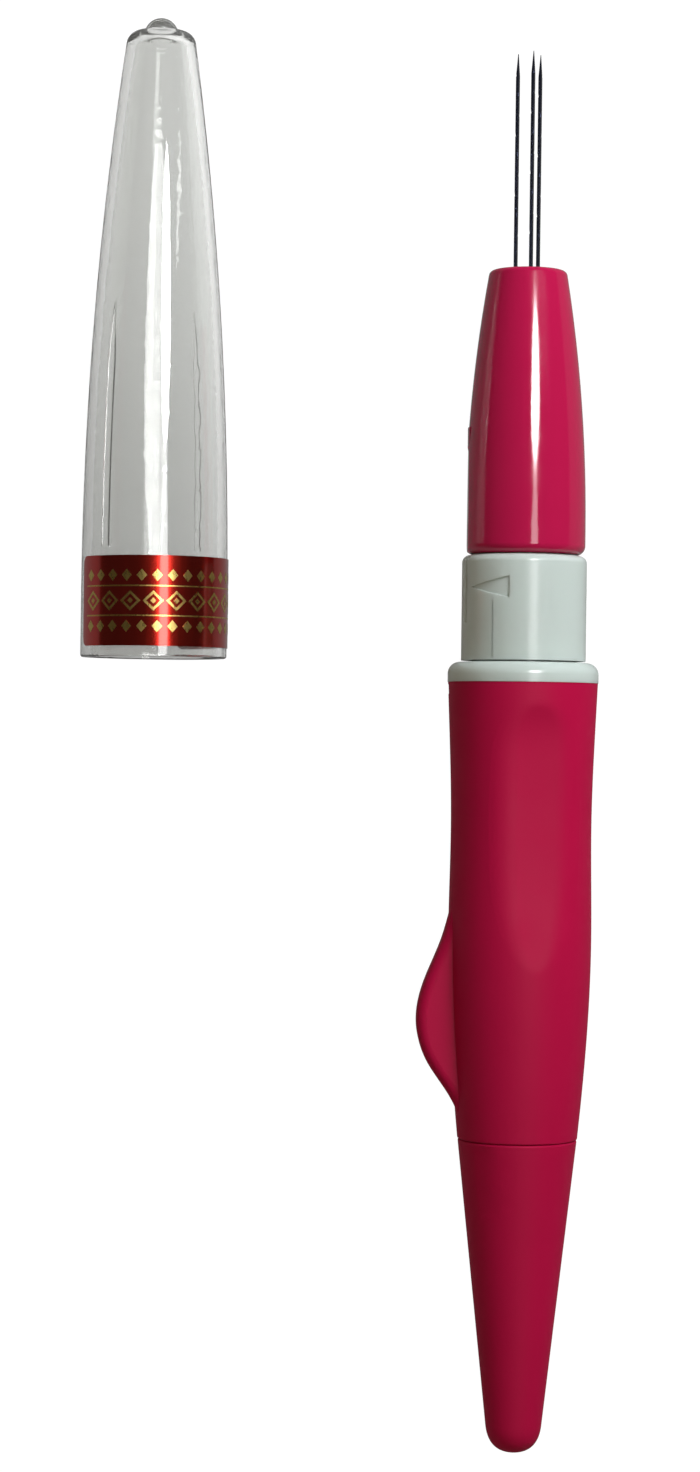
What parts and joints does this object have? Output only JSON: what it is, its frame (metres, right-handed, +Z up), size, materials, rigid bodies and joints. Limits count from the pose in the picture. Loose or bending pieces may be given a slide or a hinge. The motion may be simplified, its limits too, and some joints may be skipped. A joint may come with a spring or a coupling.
{
  "type": "pen-style needle felting tool",
  "caption": "Pen-style needle felting tool: barbed needles in a tapered nose, turning lock collar, swelling grip with a finger rest, and a clear tapered cap lying beside it.",
  "frame": {"origin": "on the floor, under the middle of the bounding box of the tool and its cap, which lie side by side as in the picture", "axes": "+Y along the tool's axis towards the needle tips, +X to the right seen from above with the needles pointing away, so that the cap lies towards -X, and +Z up from the floor"},
  "size_m": [0.0648, 0.1784, 0.0188],
  "materials": {
    "pink_gloss": "glossy moulded ABS",
    "pink_satin": "satin moulded ABS",
    "mint": "satin moulded acetal, grey-green",
    "liner": "natural moulded nylon",
    "needle_steel": "hardened carbon steel, polished",
    "spring_steel": "drawn spring wire",
    "pad_rubber": "moulded rubber",
    "clear": "clear polished polystyrene",
    "foil": "red metallised foil with a gold ornament"
  },
  "bodies": {
    "handle": {"handle_shell": "pink_satin", "flange_insert": "mint", "needle_block": "liner", "needle_left": "needle_steel", "needle_front": "needle_steel", "needle_right": "needle_steel", "clamp_spring": "spring_steel", "spring_plug": "liner"},
    "collar": {"lock_collar": "mint"},
    "nose": {"nose_cone": "pink_gloss", "nose_sleeve": "liner"},
    "plunger": {"crook_plunger": "liner", "crook_pad": "pad_rubber"},
    "tail": {"tail_cap": "pink_satin"},
    "cap": {"clear_cap": "clear", "cap_label": "foil"}
  },
  "joints": [
    {"name": "collar_turn", "type": "hinge", "parent": "handle", "child": "collar", "pos_m": [0.02295, 0.00932, 0.00941], "axis": [0, -1, 0], "range_deg": [0, 60]},
    {"name": "nose_pull", "type": "slide", "parent": "handle", "child": "nose", "axis": [0, 1, 0], "range_m": [0, 0.085]},
    {"name": "tail_pull", "type": "slide", "parent": "handle", "child": "tail", "axis": [0, -1, 0], "range_m": [0, 0.02]},
    {"name": "plunger_press", "type": "slide", "parent": "handle", "child": "plunger", "axis": [0, -1, 0], "range_m": [0, 0.002], "stiffness_N_per_m": 400, "springref_m": -0.003, "deforming": ["clamp_spring"]},
    {"name": "cap_carry", "type": "slide", "parent": "handle", "child": "cap", "axis": [0.3036, 0.9528, 0.0019], "range_m": [0, 0.15218]}
  ]
}
